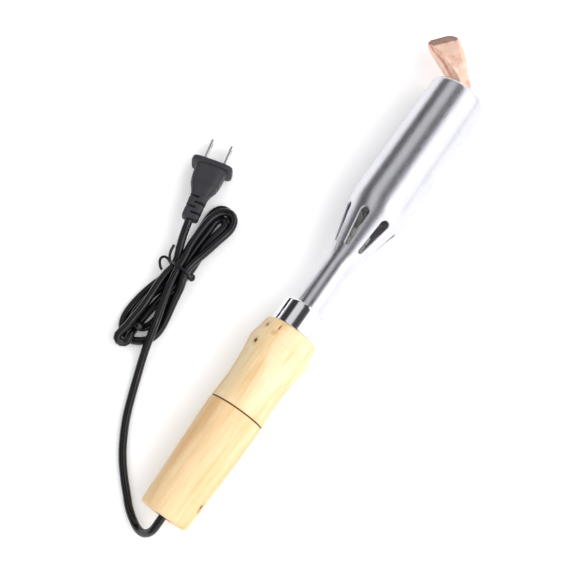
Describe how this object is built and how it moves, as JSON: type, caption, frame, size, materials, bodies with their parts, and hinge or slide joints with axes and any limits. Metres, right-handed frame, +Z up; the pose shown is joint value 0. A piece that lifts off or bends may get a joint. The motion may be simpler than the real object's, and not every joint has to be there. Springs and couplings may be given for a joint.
{
  "type": "electric soldering iron",
  "caption": "Heavy electric soldering iron with a turned wooden handle, chromed ferrule and vented barrel, a bent copper bit, and a mains cord tied in a hank with a flat-blade plug.",
  "frame": {"origin": "centre of the iron's footprint box, on the surface it lies on, without the free cord and plug", "axes": "+X along the iron from the butt to the bit, +Y to the side the bit bends towards, +Z up from the surface"},
  "size_m": [0.3625, 0.1345, 0.04],
  "materials": {
    "rear_wood": "turned and sanded bare birch",
    "front_wood": "turned and sanded bare birch, paler",
    "fibre": "pressed vulcanised fibre",
    "rubber_grommet": "moulded matt rubber",
    "chrome_ferrule": "bright chrome plate",
    "polished_barrel": "bright plate over a finely brushed barrel",
    "turned_steel": "turned steel",
    "zinc_steel": "zinc plate",
    "forged_copper": "hammered copper, darker on the cut end",
    "heat_blued_steel": "blued steel",
    "mica": "layered mica sheet",
    "resistance_ribbon": "oxidised resistance ribbon",
    "nickel_wire": "drawn nickel wire",
    "ceramic": "unglazed steatite",
    "terminal_brass": "machined brass",
    "core_insulation": "soft PVC",
    "cord_pvc": "soft black PVC with a low sheen",
    "tie_plastic": "plastic-coated wire",
    "plug_pvc": "moulded black PVC, satin",
    "plated_blades": "nickel-plated brass strip"
  },
  "bodies": {
    "root": {"front_handle": "front_wood", "ferrule": "chrome_ferrule", "neck_pin": "zinc_steel", "barrel_shell": "polished_barrel", "front_collar": "turned_steel", "heater_tube": "heat_blued_steel", "mica_inner": "mica", "heating_element": "resistance_ribbon", "mica_outer": "mica", "heater_jacket": "heat_blued_steel", "rear_disc": "turned_steel", "lead_wires": "nickel_wire", "ceramic_beads": "ceramic", "terminal_block": "ceramic", "terminal_sleeves": "terminal_brass", "terminal_screws": "zinc_steel", "cord_clamp": "zinc_steel", "clamp_screws": "zinc_steel", "cord_cores": "core_insulation", "cord_inner": "cord_pvc", "cord_lead": "cord_pvc", "cord_hank": "cord_pvc", "cord_tail": "cord_pvc", "cord_tie": "tie_plastic", "plug_body": "plug_pvc", "plug_blades": "plated_blades"},
    "bit": {"copper_bit": "forged_copper"},
    "washer": {"set_screw_washer": "zinc_steel"},
    "set_screw": {"set_screw": "zinc_steel"},
    "ring": {"joint_ring": "fibre"},
    "rear_handle": {"rear_handle": "rear_wood", "cord_grommet": "rubber_grommet"}
  },
  "joints": [
    {"name": "bit_slide", "type": "slide", "parent": "root", "child": "bit", "axis": [1, 0, 0], "range_m": [0, 0.08]},
    {"name": "washer_slide", "type": "slide", "parent": "root", "child": "washer", "axis": [0, 0.766, -0.6428], "range_m": [0, 0.0024]},
    {"name": "set_screw_turn", "type": "hinge", "parent": "washer", "child": "set_screw", "pos_m": [0.135, -0.0075, 0.02], "axis": [0, 0.766, -0.6428], "range_deg": [0, 1080]},
    {"name": "ring_slide", "type": "slide", "parent": "root", "child": "ring", "axis": [-1, 0, 0], "range_m": [0, 0.00405]},
    {"name": "rear_handle_turn", "type": "hinge", "parent": "ring", "child": "rear_handle", "pos_m": [-0.173, -0.0075, 0.02], "axis": [-1, 0, 0], "range_deg": [0, 360]}
  ],
  "couplings": [
    {"joint": "set_screw_turn", "follows": "washer_slide", "rad_per_m": 7854},
    {"joint": "ring_slide", "follows": "rear_handle_turn", "m_per_rad": 0.00063662}
  ]
}
